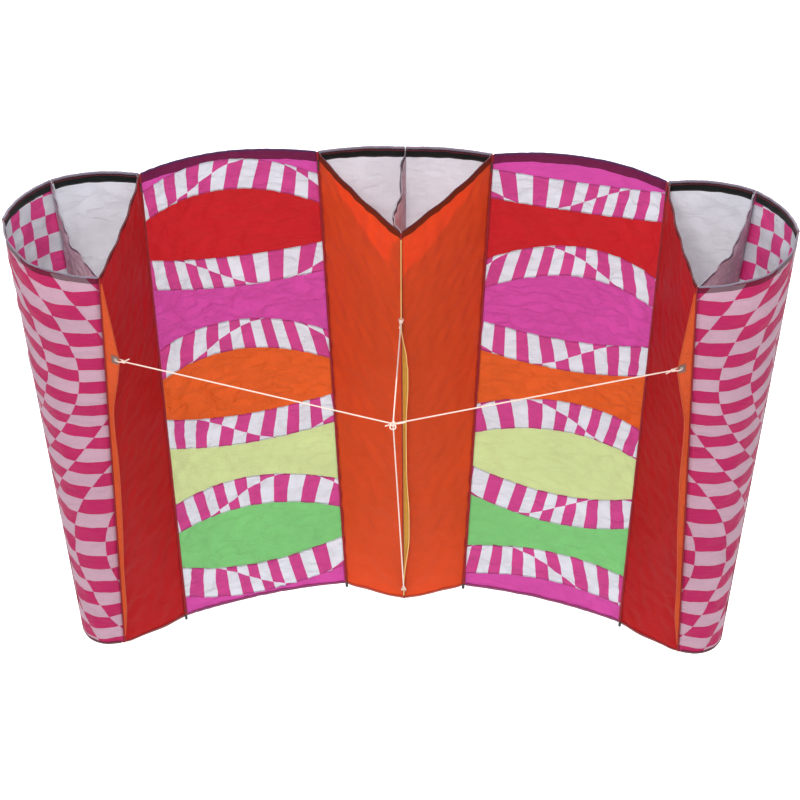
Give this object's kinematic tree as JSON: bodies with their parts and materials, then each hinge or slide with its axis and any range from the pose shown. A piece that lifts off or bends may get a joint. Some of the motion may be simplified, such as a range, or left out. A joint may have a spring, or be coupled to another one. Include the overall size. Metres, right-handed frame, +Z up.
{
  "type": "soft sled kite",
  "caption": "Soft cloth sled kite: wind-filled cells at its middle and tips, patchwork panels between them, rods in sleeves, keels and a tied bridle.",
  "frame": {"origin": "the front end of the tow loop, where the flying line ties on", "axes": "+Z up the sail from its trailing edge to its leading edge, -Y forward along the pull of the line, +X along the span to the right as seen from the front"},
  "size_m": [1.904, 0.9638, 1.2266],
  "materials": {
    "white_ripstop": "plain ripstop nylon, satin, slightly see-through",
    "orange_ripstop": "plain ripstop nylon, satin",
    "deep_red_ripstop": "plain ripstop nylon, satin",
    "red_ripstop": "plain ripstop nylon, satin",
    "magenta_ripstop": "plain ripstop nylon, satin",
    "bright_orange_ripstop": "plain ripstop nylon, satin",
    "yellow_ripstop": "plain ripstop nylon, satin",
    "green_ripstop": "plain ripstop nylon, satin",
    "check_ripstop": "ripstop nylon printed with a bent check",
    "pink_check_ripstop": "ripstop nylon printed with a bent check",
    "rib_ripstop": "light ripstop nylon, slightly see-through",
    "gold_ripstop": "plain ripstop nylon, satin",
    "keel_orange_ripstop": "plain ripstop nylon, satin",
    "black_tape": "woven binding tape",
    "seam_cloth": "rolled and stitched seam",
    "sleeve_cloth": "stitched rod sleeve",
    "grey_patch": "heavy woven reinforcement",
    "fibreglass": "pultruded fibreglass rod",
    "black_vinyl": "dipped vinyl end cap",
    "eyelet_metal": "pressed eyelet",
    "bridle_cord": "braided polyester cord"
  },
  "bodies": {
    "centre_cell": {"centre_back_sheet": "white_ripstop", "centre_left_wall": "orange_ripstop", "centre_right_wall": "orange_ripstop", "centre_rib": "rib_ripstop", "centre_seams": "seam_cloth", "centre_tapes": "black_tape", "centre_left_rod": "fibreglass", "centre_right_rod": "fibreglass", "centre_rod_sleeves": "sleeve_cloth", "centre_rod_caps": "black_vinyl", "centre_keel": "gold_ripstop", "centre_keel_patches": "grey_patch", "centre_keel_eyelets": "eyelet_metal", "top_bridle_leg": "bridle_cord", "bottom_bridle_leg": "bridle_cord", "tow_knot": "bridle_cord"},
    "line_loop": {"tow_loop": "bridle_cord"},
    "left_panel": {"left_check_strips": "check_ripstop", "left_magenta_fields": "magenta_ripstop", "left_red_field": "red_ripstop", "left_orange_field": "bright_orange_ripstop", "left_yellow_field": "yellow_ripstop", "left_green_field": "green_ripstop", "left_rod": "fibreglass", "left_rod_sleeve": "sleeve_cloth", "left_rod_caps": "black_vinyl", "left_leading_tape": "black_tape"},
    "left_tip_cell": {"left_cell_back": "white_ripstop", "left_cell_back_check": "check_ripstop", "left_inner_wall": "deep_red_ripstop", "left_outer_wall": "pink_check_ripstop", "left_rib": "rib_ripstop", "left_cell_seams": "seam_cloth", "left_cell_tapes": "black_tape"},
    "left_tip_keel": {"left_keel": "keel_orange_ripstop", "left_keel_patches": "grey_patch", "left_keel_eyelet": "eyelet_metal"},
    "left_side_leg": {"left_bridle_leg": "bridle_cord"},
    "right_panel": {"right_check_strips": "check_ripstop", "right_magenta_fields": "magenta_ripstop", "right_red_field": "red_ripstop", "right_orange_field": "bright_orange_ripstop", "right_yellow_field": "yellow_ripstop", "right_green_field": "green_ripstop", "right_rod": "fibreglass", "right_rod_sleeve": "sleeve_cloth", "right_rod_caps": "black_vinyl", "right_leading_tape": "black_tape"},
    "right_tip_cell": {"right_cell_back": "white_ripstop", "right_cell_back_check": "check_ripstop", "right_inner_wall": "deep_red_ripstop", "right_outer_wall": "pink_check_ripstop", "right_rib": "rib_ripstop", "right_cell_seams": "seam_cloth", "right_cell_tapes": "black_tape"},
    "right_tip_keel": {"right_keel": "keel_orange_ripstop", "right_keel_patches": "grey_patch", "right_keel_eyelet": "eyelet_metal"},
    "right_side_leg": {"right_bridle_leg": "bridle_cord"}
  },
  "joints": [
    {"name": "left_panel_flex", "type": "hinge", "parent": "centre_cell", "child": "left_panel", "pos_m": [-0.144, 0.936, -0.985], "axis": [-0.0551, -0.0041, 0.9985], "range_deg": [-7, 7]},
    {"name": "left_tip_cell_flex", "type": "hinge", "parent": "left_panel", "child": "left_tip_cell", "pos_m": [-0.533, 0.768, -0.985], "axis": [-0.0844, 0.0311, 0.9959], "range_deg": [-13.3, 13.3]},
    {"name": "left_keel_swing", "type": "hinge", "parent": "left_tip_cell", "child": "left_tip_keel", "pos_m": [-0.677, 0.638, -0.985], "axis": [-0.0277, -0.2129, 0.9767], "range_deg": [-9.6, 9.6]},
    {"name": "left_leg_swivel", "type": "hinge", "parent": "left_tip_keel", "child": "left_side_leg", "pos_m": [-0.67459, 0.42068, -0.06465], "axis": [0.4949, 0.846, 0.1985], "range_deg": [-1.7, 1.7]},
    {"name": "right_panel_flex", "type": "hinge", "parent": "centre_cell", "child": "right_panel", "pos_m": [0.144, 0.936, -0.985], "axis": [-0.0551, 0.0041, -0.9985], "range_deg": [-7, 7]},
    {"name": "right_tip_cell_flex", "type": "hinge", "parent": "right_panel", "child": "right_tip_cell", "pos_m": [0.533, 0.768, -0.985], "axis": [-0.0844, -0.0311, -0.9959], "range_deg": [-13.3, 13.3]},
    {"name": "right_keel_swing", "type": "hinge", "parent": "right_tip_cell", "child": "right_tip_keel", "pos_m": [0.677, 0.638, -0.985], "axis": [-0.0277, 0.2129, -0.9767], "range_deg": [-9.6, 9.6]},
    {"name": "right_leg_swivel", "type": "hinge", "parent": "right_tip_keel", "child": "right_side_leg", "pos_m": [0.67459, 0.42068, -0.06465], "axis": [0.4949, -0.846, -0.1985], "range_deg": [-1.7, 1.7]},
    {"name": "tow_loop_swing", "type": "hinge", "parent": "centre_cell", "child": "line_loop", "pos_m": [0, 0.026, 0], "axis": [1, 0, 0], "range_deg": [-70, 70]}
  ],
  "couplings": [
    {"joint": "left_tip_cell_flex", "follows": "left_panel_flex", "ratio": -1.9},
    {"joint": "left_keel_swing", "follows": "left_panel_flex", "ratio": 1.37},
    {"joint": "left_leg_swivel", "follows": "left_panel_flex", "ratio": 0.237},
    {"joint": "right_tip_cell_flex", "follows": "right_panel_flex", "ratio": -1.9},
    {"joint": "right_keel_swing", "follows": "right_panel_flex", "ratio": 1.37},
    {"joint": "right_leg_swivel", "follows": "right_panel_flex", "ratio": 0.237}
  ]
}
